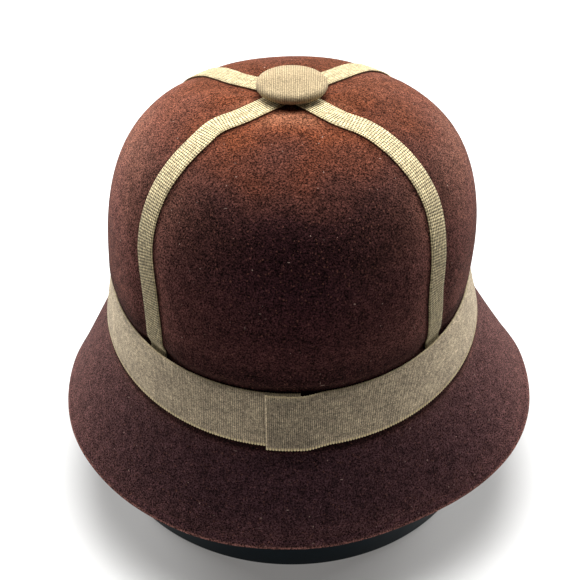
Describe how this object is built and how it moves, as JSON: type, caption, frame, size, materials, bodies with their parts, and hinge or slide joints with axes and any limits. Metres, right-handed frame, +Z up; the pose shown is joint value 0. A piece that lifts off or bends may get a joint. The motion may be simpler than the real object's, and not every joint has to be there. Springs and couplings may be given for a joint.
{
  "type": "cloche hat on a plain round display stand",
  "caption": "Felt cloche hat with a downturned brim, grosgrain hat band and crown ribbons meeting under a covered button, resting on a plain round black display stand.",
  "frame": {"origin": "on the surface the stand rests on, under the middle of the stand", "axes": "+Z up, -Y towards the side where the hat band laps, +X to the right seen from there"},
  "size_m": [0.2162, 0.2414, 0.2012],
  "materials": {
    "velour_felt": "brushed velour felt with a soft nap",
    "grosgrain": "matt ribbed grosgrain ribbon",
    "button_cloth": "matt ribbed cloth",
    "black_stand": "satin to gloss black"
  },
  "bodies": {
    "root": {"felt_body": "velour_felt", "hat_band": "grosgrain", "ribbon_near_left": "grosgrain", "ribbon_near_right": "grosgrain", "ribbon_far_left": "grosgrain", "ribbon_far_right": "grosgrain", "top_button": "button_cloth", "display_stand": "black_stand"}
  },
  "joints": []
}
